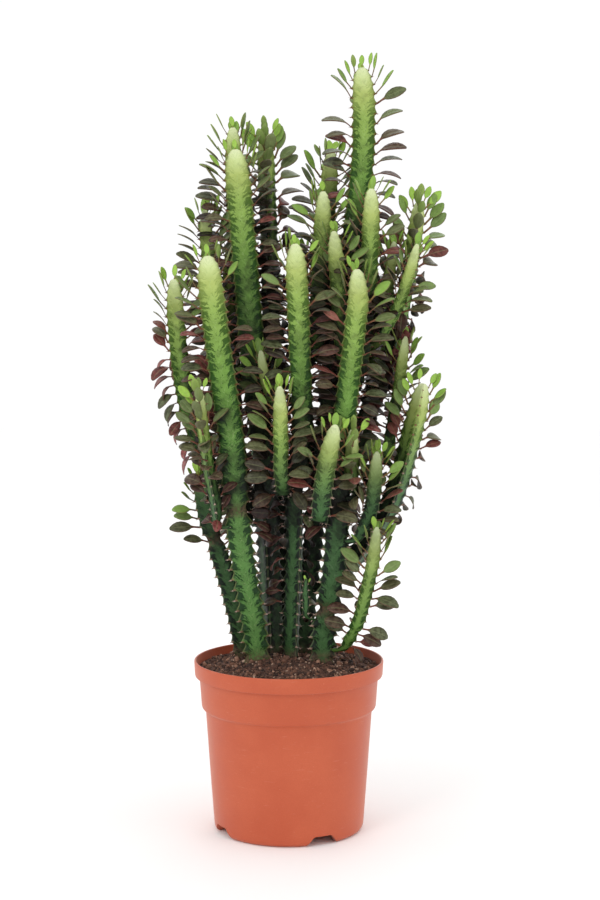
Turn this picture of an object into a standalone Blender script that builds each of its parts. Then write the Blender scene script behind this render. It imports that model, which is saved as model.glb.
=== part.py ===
"""Potted euphorbia: a bushy three-winged candelabra plant in a round nursery pot.

Metres, +Z up.  The origin is under the middle of the plant's whole box, on the surface it
stands on, and the plant's best side faces -Y.  Everything is modelled round the pot's axis.
Run with: blender --background --python part.py
"""

import math
from collections import namedtuple

import bmesh
import bpy
from mathutils import Matrix, Vector

MM = 0.001
GAP = 0.4 * MM                 # clearance between neighbouring pieces

# The pot's axis stands here, which brings the middle of the plant's box over the origin.
POT_PLACE = (-12.9 * MM, -15.7 * MM, 0)

# Pot: a turned shell, radii outside unless named otherwise.
POT_HEIGHT = 190 * MM
POT_WALL = 1.8 * MM
LIP_RADIUS = 105 * MM
LIP_DEPTH = 17 * MM
LIP_TAPER = 1.2 * MM
COLLAR_TOP_RADIUS = 99.5 * MM
COLLAR_BOTTOM_RADIUS = 96.5 * MM
COLLAR_BOTTOM = 138 * MM       # height where the collar steps in to the body
BODY_TOP_RADIUS = 92.8 * MM
BODY_STEP = 3 * MM
FOOT_RADIUS = 83 * MM
FOOT_ROUND = 6 * MM            # radius of the bottom corner
FOOT_WIDTH = 9 * MM
FLOOR_HEIGHT = 10 * MM
POT_STEPS = 48
NOTCHES = 4
NOTCH_FIRST_ANGLE = -63        # degrees from +X; -90 is the front
NOTCH_WIDTH_BOTTOM = 39 * MM
NOTCH_WIDTH_TOP = 19.5 * MM
NOTCH_HEIGHT = 11 * MM
NOTCH_DEPTH = 24 * MM
DRAINS = 6
DRAIN_RADIUS = 5 * MM
DRAIN_CIRCLE = 50 * MM

# Soil: a mound that is lowest at the wall.
SOIL_CENTRE_HEIGHT = 190 * MM
SOIL_EDGE_HEIGHT = 177 * MM
SOIL_RINGS = 4
SOIL_STEPS = 36

# Stems: three wings at 120 degrees, lofted along a smooth path.
CREST_HALF_ANGLE = 8           # degrees each side of a wing's ridge
VALLEY_RATIO = 0.45            # radius between two wings, as a share of the wing radius
RING_SPACING = 34 * MM
FRAME_STEPS = 60
TWIST_FROM, TWIST_TO = 0.34, 0.60    # a twisted stem turns between these shares of its length
WAIST_REACH = 12 * MM
WAIST_RATIO = 0.66
POCKET_LENGTH = 95 * MM        # length of a trunk's foot that the soil is hollowed for
NECK_REACH = 7 * MM            # a branch first leaves its parent's ridge nearly level
NECK_RISE = 3 * MM

# A ring's distance from the end of the stem, and its radius as a share of the wing radius.
TRUNK_FOOT = [(4 * MM, 0.60), (22 * MM, 0.92), (45 * MM, 1.0)]
BRANCH_FOOT = [(2.5 * MM, 0.40), (9 * MM, 0.62), (22 * MM, 0.88), (40 * MM, 1.0)]
TIP = [(30 * MM, 1.0), (14 * MM, 0.90), (5 * MM, 0.68), (1.5 * MM, 0.36)]

# Leaf tufts: a small bud with its side faces drawn out into leaves.
BUD_RADIUS = 3.2 * MM
BUD_HEIGHT = 4.5 * MM
LEAVES_PER_TUFT = 5
LEAF_THICKNESS = 1.0 * MM
# Outward and upward position as a share of the tuft's reach, and half width.
LEAF_SECTIONS = [(0.38, 0.45, 0.7 * MM), (0.72, 0.85, 4.6 * MM), (1.0, 1.0, 1.3 * MM)]

Stem = namedtuple(
    "Stem", "name parent height side foot_radius tip_radius ridge twist waists points tuft"
)

# Each stem's parent is the soil or another stem.  height and side say where on the parent
# it starts: a level in mm and the compass angle of the ridge that it grows from.  ridge is
# the angle of one wing at the tip, twist how far the foot is turned from it.  Angles are in
# degrees from +X, and -90 faces front.  waists are levels, radii and points are in mm.
# tuft is the reach of the leaves at the tip, 0 for none.
STEMS = [
    Stem("trunk_left", "soil", 0, 0, 18, 17, 90, 0, [363],
         [(-34, 10, 160), (-36, 7, 205), (-42, 0, 250), (-50, -15, 303), (-56, -33, 363),
          (-61, -46, 439), (-71, -54, 514), (-80, -55, 583), (-86, -50, 635)], 18),
    Stem("trunk_rear_left", "soil", 0, 0, 18, 17, 90, 55, [],
         [(-19, 45, 160), (-20, 43, 225), (-23, 38, 300), (-27, 33, 370), (-34, 20, 440),
          (-39, 6, 522), (-45, 0, 600), (-51, 0, 674), (-58, 5, 750)], 17),
    Stem("trunk_left_low", "soil", 0, 0, 14, 12, 90, 0, [322],
         [(-50, 40, 160), (-53, 39, 205), (-62, 33, 250), (-76, 24, 300), (-89, 2, 348),
          (-98, -18, 396)], 16),
    Stem("trunk_middle", "soil", 0, 0, 13, 15, 90, -40, [380],
         [(3, 15, 160), (5, 7, 235), (8, -4, 300), (9, -14, 375), (15, -28, 448),
          (13, -40, 513), (10, -45, 588), (7, -45, 648)], 17),
    Stem("trunk_right", "soil", 0, 0, 18, 14, 90, 0, [249, 360],
         [(37, 0, 155), (38, -2, 205), (42, -9, 249), (49, -19, 293), (53, -25, 349),
          (56, -30, 415), (62, -38, 476), (69, -45, 540), (74, -46, 588), (73, -45, 621)], 18),
    Stem("trunk_rear_right", "soil", 0, 0, 15, 16, 90, 0, [],
         [(15, 55, 160), (20, 58, 240), (30, 60, 340), (43, 60, 450), (57, 60, 564),
          (73, 60, 664), (82, 60, 742), (83, 60, 797), (81, 60, 843)], 17),

    Stem("arm_left_outer", "trunk_left", 345, 90, 12, 12, 90, 0, [],
         [(-66, 4, 362), (-92, 10, 415), (-112, 5, 478), (-121, 0, 544), (-125, 0, 610)], 20),
    Stem("arm_left_front", "trunk_left", 345, 210, 8, 8, -90, 0, [],
         [(-78, -56, 368), (-85, -67, 409), (-91, -74, 458), (-94, -75, 496)], 14),
    Stem("arm_left_rear", "trunk_rear_left", 474, 90, 10, 10, 90, 0, [],
         [(-50, 44, 487), (-68, 50, 515), (-81, 50, 575), (-90, 50, 642), (-93, 50, 686)], 16),
    Stem("column_left_rear", "trunk_rear_left", 565, 90, 12, 12, 90, 0, [],
         [(-51, 38, 582), (-57, 51, 635), (-60, 55, 697), (-62, 55, 777)], 15),
    Stem("column_rear_inner", "trunk_rear_left", 428, 90, 12, 12, -90, 0, [],
         [(-30, 52, 446), (-22, 59, 500), (-21, 60, 586), (-24, 60, 697), (-27, 60, 775)], 15),
    Stem("bud_arm_left", "trunk_rear_left", 440, -25, 8, 8, 90, 0, [],
         [(-9, 1, 458), (-18, -14, 485), (-26, -26, 508), (-30, -32, 534)], 0),
    Stem("arm_rear_left", "trunk_rear_left", 330, 115, 11, 11, 90, 0, [],
         [(-43, 66, 345), (-53, 82, 380), (-61, 96, 440), (-65, 104, 520), (-67, 106, 600),
          (-67, 106, 648)], 17),

    Stem("arm_middle_front", "trunk_middle", 373, 210, 10, 10, 90, 0, [],
         [(-6, -38, 383), (-8, -60, 405), (-8, -70, 440), (-9, -72, 498)], 16),

    Stem("shoot_small", "trunk_right", 236, 210, 5, 5, 90, 0, [],
         [(20, -20, 247), (18, -23, 265), (19, -24, 284)], 0),
    Stem("arm_right_low", "trunk_right", 202, 330, 9, 9, 90, 0, [228],
         [(63, -17, 211), (75, -33, 238), (84, -46, 274), (91, -54, 310), (95, -58, 346)], 16),
    Stem("arm_front", "trunk_right", 344, 210, 13, 13, 90, 0, [],
         [(34, -48, 355), (36, -62, 380), (42, -76, 422), (50, -82, 458)], 16),
    Stem("arm_front_right", "trunk_right", 372, 330, 10, 10, -90, 0, [],
         [(69, -47, 385), (68, -54, 405), (68, -58, 425), (69, -60, 452)], 0),
    Stem("arm_right_short", "trunk_right", 326, 330, 10, 10, 90, 0, [],
         [(78, -35, 337), (89, -37, 362), (93, -42, 395), (95, -47, 426)], 14),
    Stem("column_centre_back", "trunk_right", 492, 90, 11, 11, 90, 0, [],
         [(62, -12, 505), (58, 0, 540), (55, 0, 590), (49, -3, 662)], 14),

    Stem("arm_right", "trunk_rear_right", 262, 330, 15, 14, -90, 0, [],
         [(53, 42, 274), (76, 28, 300), (101, 12, 338), (119, 0, 380), (131, -8, 425),
          (140, -12, 463), (147, -14, 497)], 20),
    Stem("column_right_centre", "trunk_rear_right", 468, 330, 12, 12, 90, 0, [],
         [(66, 40, 480), (75, 22, 505), (82, 10, 545), (86, 6, 600), (89, 5, 653),
          (90, 5, 708)], 15),
    Stem("column_centre", "trunk_rear_right", 513, 210, 12, 12, 90, 0, [],
         [(31, 44, 530), (31, 38, 562), (36, 34, 631), (38, 34, 706)], 15),
    Stem("column_rear", "trunk_rear_right", 545, 90, 12, 12, 90, 0, [],
         [(47, 90, 560), (42, 104, 597), (43, 106, 676), (48, 102, 755)], 16),
    Stem("column_right", "trunk_rear_right", 430, 330, 10, 11, -90, 0, [],
         [(69, 50, 441), (89, 50, 460), (105, 50, 492), (124, 48, 564), (138, 45, 642),
          (145, 44, 697)], 18),
    Stem("twig_right_front", "column_right_centre", 545, 330, 8, 8, 90, 0, [],
         [(103, 0, 552), (114, -3, 570), (124, -8, 598), (132, -12, 622), (139, -15, 648)], 14),
    Stem("twig_right_inner", "column_right", 571, 210, 8, 8, 90, 0, [],
         [(112, 36, 582), (110, 30, 600), (112, 26, 622), (116, 24, 651)], 12),
    Stem("twig_right_outer", "arm_right", 400, 150, 8, 8, 90, 0, [],
         [(108, 14, 410), (113, 24, 440), (121, 26, 486), (129, 20, 547)], 15),

    Stem("arm_rear_right", "trunk_rear_right", 330, 90, 11, 11, 90, 0, [],
         [(42, 86, 343), (62, 96, 375), (84, 104, 430), (98, 108, 500), (108, 108, 590)], 17),
    Stem("arm_rear_centre", "trunk_rear_right", 380, 90, 11, 11, 90, 0, [],
         [(28, 88, 392), (20, 103, 430), (16, 114, 500), (14, 118, 570), (14, 120, 642)], 17),
    Stem("trunk_rear", "soil", 0, 0, 16, 13, 90, 0, [],
         [(-7, 76, 160), (-8, 79, 235), (-11, 88, 320), (-12, 100, 390), (-12, 105, 450)], 0),
]


def clear_scene():
    for scene_object in list(bpy.data.objects):
        bpy.data.objects.remove(scene_object, do_unlink=True)


def make_collection(name):
    collection = bpy.data.collections.new(name)
    bpy.context.scene.collection.children.link(collection)
    return collection


def make_material(name, colour, roughness, metallic=0.0):
    material = bpy.data.materials.new(name)
    material.use_nodes = True
    shader = material.node_tree.nodes["Principled BSDF"]
    shader.inputs["Base Color"].default_value = (*colour, 1.0)
    shader.inputs["Roughness"].default_value = roughness
    shader.inputs["Metallic"].default_value = metallic
    material.diffuse_color = (*colour, 1.0)
    return material


def add_object(name, bm, collection, material=None, smooth=True):
    """Turn a bmesh into an object; round surfaces are smooth with sharp edges kept."""
    mesh = bpy.data.meshes.new(name)
    bm.to_mesh(mesh)
    bm.free()
    if smooth:
        mesh.shade_smooth()
        mesh.set_sharp_from_angle(angle=math.radians(35))
    if material:
        mesh.materials.append(material)
    made = bpy.data.objects.new(name, mesh)
    collection.objects.link(made)
    return made


def make_cutter(name, bm, collection):
    cutter = add_object(name, bm, collection, smooth=False)
    cutter.hide_render = True
    cutter.display_type = "WIRE"
    return cutter


def cut(target, cutter):
    boolean = target.modifiers.new("cut " + cutter.name, "BOOLEAN")
    boolean.operation = "DIFFERENCE"
    boolean.solver = "EXACT"
    boolean.object = cutter


def turned(name, profile, steps, collection, material):
    """Spin a profile of (radius, height) points about +Z; both its ends are on the axis."""
    bm = bmesh.new()
    points = [bm.verts.new((radius, 0, height)) for radius, height in profile]
    for start, end in zip(points, points[1:]):
        bm.edges.new((start, end))
    made = add_object(name, bm, collection, material)
    screw = made.modifiers.new("turn", "SCREW")
    screw.axis = "Z"
    screw.steps = steps
    screw.render_steps = steps
    screw.use_merge_vertices = True
    screw.merge_threshold = 0.00005
    screw.use_normal_calculate = False
    return made


def body_radius(height):
    """Outer radius of the straight wall between the foot and the collar."""
    share = height / (COLLAR_BOTTOM - BODY_STEP)
    return FOOT_RADIUS + (BODY_TOP_RADIUS - FOOT_RADIUS) * share


def collar_radius(height):
    share = (height - COLLAR_BOTTOM) / (POT_HEIGHT - LIP_DEPTH - COLLAR_BOTTOM)
    return COLLAR_BOTTOM_RADIUS + (COLLAR_TOP_RADIUS - COLLAR_BOTTOM_RADIUS) * share


def pot_outside():
    """Outer profile from the lip down to the foot's inner edge."""
    under_lip = POT_HEIGHT - LIP_DEPTH
    profile = [
        (LIP_RADIUS - 0.6 * MM, POT_HEIGHT),
        (LIP_RADIUS, POT_HEIGHT - 0.8 * MM),
        (LIP_RADIUS - LIP_TAPER, under_lip),
        (collar_radius(under_lip), under_lip),
        (collar_radius(COLLAR_BOTTOM), COLLAR_BOTTOM),
        (body_radius(COLLAR_BOTTOM - BODY_STEP), COLLAR_BOTTOM - BODY_STEP),
    ]
    corner = Vector((body_radius(FOOT_ROUND) - FOOT_ROUND, FOOT_ROUND))
    for angle in (0, -30, -60, -90):
        turn = math.radians(angle)
        profile.append((corner.x + FOOT_ROUND * math.cos(turn),
                        corner.y + FOOT_ROUND * math.sin(turn)))
    profile.append((FOOT_RADIUS - FOOT_WIDTH, 0))
    return profile


def pot_inside(offset=0.0):
    """Inner profile from the floor's centre up to the rim, moved off the wall by offset."""
    floor_top = FLOOR_HEIGHT + POT_WALL + offset
    shelf = POT_HEIGHT - LIP_DEPTH + POT_WALL + offset
    step_low = COLLAR_BOTTOM - BODY_STEP + offset
    step_high = COLLAR_BOTTOM + offset
    inset = POT_WALL + offset
    return [
        (0, floor_top),
        (body_radius(floor_top) - inset - 2 * MM, floor_top),
        (body_radius(floor_top + 2 * MM) - inset, floor_top + 2 * MM),
        (body_radius(step_low) - inset, step_low),
        (collar_radius(step_high) - inset, step_high),
        (collar_radius(shelf) - inset, shelf),
        (LIP_RADIUS - LIP_TAPER - inset, shelf),
        (LIP_RADIUS - 0.6 * MM - inset, POT_HEIGHT),
    ]


def notch_cutter(collection, angle, number):
    """A wedge that opens the foot: wide at the bottom, with rounded upper corners."""
    half_low = NOTCH_WIDTH_BOTTOM / 2
    half_high = NOTCH_WIDTH_TOP / 2
    outline = [
        (-half_low - 1 * MM, -1 * MM),
        (-half_low + 1.5 * MM, 1.5 * MM),
        (-half_high - 3 * MM, NOTCH_HEIGHT - 2.5 * MM),
        (-half_high, NOTCH_HEIGHT),
        (half_high, NOTCH_HEIGHT),
        (half_high + 3 * MM, NOTCH_HEIGHT - 2.5 * MM),
        (half_low - 1.5 * MM, 1.5 * MM),
        (half_low + 1 * MM, -1 * MM),
    ]
    bm = bmesh.new()
    near = FOOT_RADIUS - NOTCH_DEPTH / 2
    face = bm.faces.new([bm.verts.new((near, y, z)) for y, z in outline])
    drawn = bmesh.ops.extrude_face_region(bm, geom=[face])
    moved = [v for v in drawn["geom"] if isinstance(v, bmesh.types.BMVert)]
    bmesh.ops.translate(bm, verts=moved, vec=(NOTCH_DEPTH, 0, 0))
    bmesh.ops.recalc_face_normals(bm, faces=bm.faces)
    bmesh.ops.rotate(bm, verts=bm.verts, matrix=Matrix.Rotation(math.radians(angle), 3, "Z"))
    return make_cutter(f"notch_cutter_{number}", bm, collection)


def drain_cutter(collection, angle, number):
    bm = bmesh.new()
    place = Matrix.Translation((DRAIN_CIRCLE * math.cos(angle), DRAIN_CIRCLE * math.sin(angle),
                                FLOOR_HEIGHT + POT_WALL / 2))
    bmesh.ops.create_cone(bm, cap_ends=True, segments=12, radius1=DRAIN_RADIUS,
                          radius2=DRAIN_RADIUS, depth=POT_WALL * 3, matrix=place)
    return make_cutter(f"drain_cutter_{number}", bm, collection)


def make_pot(collection, cutters):
    material = make_material("terracotta_plastic", (0.58, 0.14, 0.07), 0.5)
    under_floor = [(FOOT_RADIUS - FOOT_WIDTH + 1.5 * MM, FLOOR_HEIGHT), (0, FLOOR_HEIGHT)]
    profile = pot_inside() + pot_outside() + under_floor
    pot = turned("pot", profile, POT_STEPS, collection, material)
    for number in range(NOTCHES):
        angle = NOTCH_FIRST_ANGLE + number * 360 / NOTCHES
        cut(pot, notch_cutter(cutters, angle, number))
    for number in range(DRAINS):
        cut(pot, drain_cutter(cutters, number * math.tau / DRAINS, number))


def make_soil(collection, pockets):
    """A mound that fills the pot, hollowed where the trunks stand in it."""
    material = make_material("potting_soil", (0.05, 0.028, 0.018), 0.95)
    wall = [(radius, height) for radius, height in pot_inside(GAP)[::-1]
            if height < SOIL_EDGE_HEIGHT]
    edge = wall[0][0]
    top = []
    for ring in range(SOIL_RINGS + 1):
        share = ring / SOIL_RINGS
        fall = (SOIL_CENTRE_HEIGHT - SOIL_EDGE_HEIGHT) * (1 - math.cos(math.pi * share)) / 2
        top.append((edge * share, SOIL_CENTRE_HEIGHT - fall))
    soil = turned("soil", top + wall, SOIL_STEPS, collection, material)
    for pocket in pockets:
        cut(soil, pocket)


class Path:
    """A smooth curve through points, read by its distance from the foot."""

    def __init__(self, points):
        samples = 12
        self.places = []
        for index in range(len(points) - 1):
            before = points[max(index - 1, 0)]
            after = points[min(index + 2, len(points) - 1)]
            for step in range(samples):
                self.places.append(self.between(before, points[index], points[index + 1],
                                                after, step / samples))
        self.places.append(points[-1])
        self.distances = [0.0]
        for start, end in zip(self.places, self.places[1:]):
            self.distances.append(self.distances[-1] + (end - start).length)
        self.length = self.distances[-1]

    @staticmethod
    def between(before, start, end, after, t):
        """Catmull-Rom curve from start to end."""
        return 0.5 * (2 * start + (end - before) * t
                      + (2 * before - 5 * start + 4 * end - after) * t ** 2
                      + (3 * start - before - 3 * end + after) * t ** 3)

    def at(self, distance):
        for index in range(len(self.places) - 1):
            if self.distances[index + 1] >= distance:
                break
        span = self.distances[index + 1] - self.distances[index]
        share = (distance - self.distances[index]) / span
        return self.places[index].lerp(self.places[index + 1], share)

    def direction(self, distance):
        reach = 4 * MM
        ahead = self.at(min(distance + reach, self.length))
        return (ahead - self.at(max(distance - reach, 0))).normalized()

    def at_height(self, height):
        """Distance from the foot at which the path reaches a height."""
        for place, distance in zip(self.places, self.distances):
            if place.z >= height:
                return distance
        return self.length


def compass(angle):
    return Vector((math.cos(math.radians(angle)), math.sin(math.radians(angle)), 0))


def wing_radius(stem, share):
    """Radius of the wings at a share of the stem's length, foot to tip."""
    return (stem.foot_radius + (stem.tip_radius - stem.foot_radius) * share) * MM


def wing_turn(stem, share):
    """How far the wings are turned there from their direction at the tip, in degrees."""
    turned = (share - TWIST_FROM) / (TWIST_TO - TWIST_FROM)
    return stem.twist * (1 - min(1.0, max(0.0, turned)))


def rings_along(stem, path):
    """Each ring's distance from the foot, and its radius as a share of the wing radius."""
    foot = TRUNK_FOOT if stem.parent == "soil" else BRANCH_FOOT
    tip = [(path.length - distance, share) for distance, share in TIP]
    start, end = foot[-1][0], tip[0][0]
    marks = [start, end]
    waists = []
    for height in stem.waists:
        middle = path.at_height(height * MM)
        waists += [(middle - WAIST_REACH, 1.0), (middle, WAIST_RATIO), (middle + WAIST_REACH, 1.0)]
        marks += [middle - WAIST_REACH, middle + WAIST_REACH]
    marks.sort()
    if end - start < RING_SPACING / 2:
        return [ring for ring in foot if ring[0] < end - 8 * MM] + tip
    rings = foot[:-1] + tip[1:] + waists
    for number in range(0, len(marks), 2):
        low, high = marks[number], marks[number + 1]
        count = max(1, round((high - low) / RING_SPACING))
        rings += [(low + (high - low) * step / count, 1.0) for step in range(count + 1)]
    return sorted(set((round(distance, 6), share) for distance, share in rings))


def wing_section(radius, share, grow):
    """Angle and radius of a ring's nine points: two on each ridge and one in each valley."""
    valley = radius * share * (VALLEY_RATIO + 0.5 * (1 - share)) + 1.4 * grow
    crest = radius * share + grow
    half_angle = CREST_HALF_ANGLE + math.degrees(1.3 * grow / crest)
    section = []
    for wing in range(3):
        middle = wing * 120
        section += [(middle - half_angle, crest), (middle + half_angle, crest),
                    (middle + 60, valley)]
    return section


def stem_bmesh(stem, path, grow=0.0, stop=None):
    """Loft a stem; grow makes it fatter all round and stop ends it early with a flat cap."""
    rings = rings_along(stem, path)
    if stop:
        rings = [ring for ring in rings if ring[0] < stop]
    # The wings' direction is carried down from the tip, so that the stem doesn't twist.
    ridges = {}
    ridge = compass(stem.ridge)
    for step in range(FRAME_STEPS, -1, -1):
        along = path.direction(path.length * step / FRAME_STEPS)
        ridge = (ridge - along * ridge.dot(along)).normalized()
        ridges[step] = ridge
    bm = bmesh.new()
    loops = []
    for distance, share in rings:
        centre = path.at(distance)
        along = path.direction(distance)
        ridge = ridges[round(distance / path.length * FRAME_STEPS)]
        ridge = (ridge - along * ridge.dot(along)).normalized()
        height_share = distance / path.length
        turn = math.radians(wing_turn(stem, height_share))
        ridge = Matrix.Rotation(turn, 3, along) @ ridge
        loop = []
        for angle, reach in wing_section(wing_radius(stem, height_share), share, grow):
            turn = Matrix.Rotation(math.radians(angle), 3, along)
            loop.append(bm.verts.new(centre + turn @ ridge * reach))
        loops.append(loop)
    for low, high in zip(loops, loops[1:]):
        for index in range(len(low)):
            following = (index + 1) % len(low)  # triangles, so that a pocket splits alike
            bm.faces.new((low[index], low[following], high[following]))
            bm.faces.new((low[index], high[following], high[index]))
    foot = bm.verts.new(path.at(0) - path.direction(0) * grow)
    for index, vert in enumerate(loops[0]):
        bm.faces.new((loops[0][(index + 1) % len(loops[0])], vert, foot))
    if stop:
        bm.faces.new(loops[-1])
        return bm
    tip = bm.verts.new(path.at(path.length))
    for index, vert in enumerate(loops[-1]):
        bm.faces.new((vert, loops[-1][(index + 1) % len(loops[-1])], tip))
    return bm


def branch_start(stem, parent, parent_path):
    """Where a branch begins, just off the parent's nearest ridge, and the end of its neck."""
    distance = parent_path.at_height(stem.height * MM)
    share = distance / parent_path.length
    first_wing = parent.ridge + wing_turn(parent, share)
    ridges = [first_wing + 120 * wing for wing in range(3)]
    nearest = min(ridges, key=lambda angle: abs((angle - stem.side + 180) % 360 - 180))
    along = parent_path.direction(distance)
    outward = compass(nearest)
    outward = (outward - along * outward.dot(along)).normalized()
    start = parent_path.at(distance) + outward * (wing_radius(parent, share) + GAP)
    return [start, start + outward * NECK_REACH + Vector((0, 0, NECK_RISE))]


def stem_paths():
    paths = {}
    by_name = {stem.name: stem for stem in STEMS}
    for stem in STEMS:
        points = [Vector(point) * MM for point in stem.points]
        if stem.parent != "soil":
            points[:0] = branch_start(stem, by_name[stem.parent], paths[stem.parent])
        paths[stem.name] = Path(points)
    return paths


def make_stems(collection, cutters, paths):
    """Every stem, and the pockets that the trunks need in the soil."""
    material = make_material("stem_skin", (0.13, 0.30, 0.06), 0.5)
    pockets = []
    for stem in STEMS:
        path = paths[stem.name]
        add_object(stem.name, stem_bmesh(stem, path), collection, material)
        if stem.parent == "soil":
            pocket = stem_bmesh(stem, path, grow=GAP, stop=POCKET_LENGTH)
            pockets.append(make_cutter(stem.name + "_pocket", pocket, cutters))
    return pockets


def tuft_bmesh(reach):
    """A bud on +Z whose side faces are drawn out into leaves."""
    bm = bmesh.new()
    bmesh.ops.create_cone(bm, cap_ends=True, segments=LEAVES_PER_TUFT, radius1=BUD_RADIUS,
                          radius2=BUD_RADIUS * 0.7, depth=BUD_HEIGHT,
                          matrix=Matrix.Translation((0, 0, BUD_HEIGHT / 2)))
    sides = [face for face in bm.faces if len(face.verts) == 4]
    for face in sides:
        outward = face.calc_center_median()
        outward.z = 0
        outward.normalize()
        across = Vector((-outward.y, outward.x, 0))
        for out, up, half_width in LEAF_SECTIONS:
            face = bmesh.ops.extrude_discrete_faces(bm, faces=[face])["faces"][0]
            centre = outward * reach * out + Vector((0, 0, BUD_HEIGHT / 2 + reach * 0.75 * up))
            middle = face.calc_center_median()
            for vert in face.verts:
                side = math.copysign(half_width, (vert.co - middle).dot(across))
                level = math.copysign(LEAF_THICKNESS / 2, vert.co.z - middle.z)
                vert.co = centre + across * side + Vector((0, 0, level))
    return bm


def make_tufts(collection, paths):
    material = make_material("leaf", (0.22, 0.42, 0.10), 0.45)
    for number, stem in enumerate(STEMS):
        if not stem.tuft:
            continue
        path = paths[stem.name]
        along = path.direction(path.length)
        bm = tuft_bmesh(stem.tuft * MM)
        turn = Matrix.Rotation(math.radians(stem.ridge + 37 * number), 4, "Z")
        lean = Vector((0, 0, 1)).rotation_difference(along).to_matrix().to_4x4()
        place = Matrix.Translation(path.at(path.length) + along * GAP)
        bmesh.ops.transform(bm, verts=bm.verts, matrix=place @ lean @ turn)
        add_object("leaf_tuft_" + stem.name, bm, collection, material)


def stand_in_place(*collections):
    """Carry every piece on one empty that stands where the pot's axis does."""
    place = bpy.data.objects.new("pot_axis", None)
    for collection in collections:
        for piece in collection.objects:
            piece.parent = place
    collections[0].objects.link(place)
    place.location = POT_PLACE


def main():
    clear_scene()
    collection = make_collection("potted_euphorbia")
    cutters = make_collection("cutters")
    paths = stem_paths()
    pockets = make_stems(collection, cutters, paths)
    make_tufts(collection, paths)
    make_pot(collection, cutters)
    make_soil(collection, pockets)
    stand_in_place(collection, cutters)


main()
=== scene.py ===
"""Potted euphorbia: the finished look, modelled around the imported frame.

The CAD stems give each stem's centreline, girth and the way its wings face.  Here every stem
gets its toothed ridges, spines and leaf rows, and the pot and soil get their real surface.
"""

import math
import random

import bmesh
import bpy
import numpy as np
from mathutils import Matrix, Vector
from mathutils.bvhtree import BVHTree


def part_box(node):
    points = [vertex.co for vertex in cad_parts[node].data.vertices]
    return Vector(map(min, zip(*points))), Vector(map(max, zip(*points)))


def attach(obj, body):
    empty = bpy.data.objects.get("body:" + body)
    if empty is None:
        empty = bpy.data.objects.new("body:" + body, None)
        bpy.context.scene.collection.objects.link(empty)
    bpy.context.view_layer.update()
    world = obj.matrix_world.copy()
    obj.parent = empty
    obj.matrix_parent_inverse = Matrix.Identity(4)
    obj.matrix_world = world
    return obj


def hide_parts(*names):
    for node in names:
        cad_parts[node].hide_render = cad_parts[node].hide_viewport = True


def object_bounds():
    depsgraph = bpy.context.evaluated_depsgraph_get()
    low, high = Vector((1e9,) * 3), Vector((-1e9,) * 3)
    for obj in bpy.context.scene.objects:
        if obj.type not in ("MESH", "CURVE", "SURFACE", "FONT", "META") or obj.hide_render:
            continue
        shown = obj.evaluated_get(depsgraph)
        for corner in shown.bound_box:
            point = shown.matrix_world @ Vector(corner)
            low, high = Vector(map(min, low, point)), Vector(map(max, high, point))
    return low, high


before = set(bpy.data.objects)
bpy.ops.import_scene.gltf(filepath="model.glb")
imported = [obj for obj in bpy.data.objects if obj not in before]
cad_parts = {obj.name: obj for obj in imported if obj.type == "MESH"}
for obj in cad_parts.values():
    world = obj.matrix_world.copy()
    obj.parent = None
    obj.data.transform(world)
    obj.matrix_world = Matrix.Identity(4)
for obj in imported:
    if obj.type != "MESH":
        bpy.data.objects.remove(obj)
cad_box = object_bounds()

MM = 0.001
PAINT_SHARE = 0.86               # the studio gives back more light than one plain white sky
RNG = random.Random(7)

# Camera, metres and degrees.
CAMERA_PLACE = (-0.0005, -2.0877, 0.631)
CAMERA_PITCH = 84.27
CAMERA_LENS = 75.8
SENSOR = 36

# Stems.
WINGS = 3
COLUMNS = 24                     # vertices round a stem
LEVELS = 6                       # rings to a tooth
CAD_RING_POINTS = 9
SECTION = {15: 0.66, 30: 0.50, 45: 0.445, 60: 0.43}    # radius at degrees from a ridge
YOUNG_MARGIN = [1.0, 0.945, 0.89, 0.85, 0.825, 0.85]   # ridge radius from a tooth's point up
OLD_MARGIN = [1.0, 0.92, 0.84, 0.77, 0.71, 0.74]
GIRTH = 1.07                     # teeth stand out a little from the CAD's smooth wings
TIP_REACH = 38 * MM
TIP_SHAPE = [(0, 0.20), (0.02, 0.33), (0.08, 0.48), (0.2, 0.65), (0.34, 0.79), (0.6, 0.91),
             (1, 1)]             # share of the reach below the tip, share of the full radius
MARGIN_SHARE_BESIDE = 0.35       # how much of a tooth's shape its neighbours follow
STOUT_PITCH = 10.5 * MM          # tooth to tooth
SLIM_PITCH = 9 * MM
STOUT_RADIUS = 13 * MM
OLD_FROM, OLD_TO = 0.22, 0.36    # distance from the tip at which teeth grow deep
REACH_INTO_PARENT = 7 * MM
SAMPLE = 2 * MM
UNEVEN = 0.035                   # how much teeth differ in reach, as a share
SOIL_LINE = 186 * MM             # below this a stem is buried
BARK_TO = 205 * MM               # corky skin fades out up to this level
DEEP_GREEN_TO = (0.36, 0.46)     # levels over which the deep green of old wood fades out
OLD_SPINES_TO = 0.40
SKY_RAYS = 20

# Leaves.
LEAF_LENGTH = 30 * MM
LEAFY_LENGTH = 0.38              # leaves grow this far below the tip
LOWEST_LEAF = 0.335              # level under which stems have shed their leaves
LOWEST_INNER_LEAF = 0.235        # on stems in the dark middle of the bush
INNER_STEMS = ("trunk_middle", "trunk_rear", "trunk_rear_left", "trunk_rear_right")
# Short stems that keep leaves below that level, each with its own leafy length.
LOW_STEMS = {"trunk_left_low": 0.11, "arm_right_low": 0.15, "shoot_small": 0.012}
BRIGHT_STEMS = ("trunk_left", "arm_right_low")         # they stay light green low down
DULL_STEMS = {"shoot_small": 0.06}                     # how much older the stem's tip looks
LEAF_SIZES = {"shoot_small": 0.4}


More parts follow.
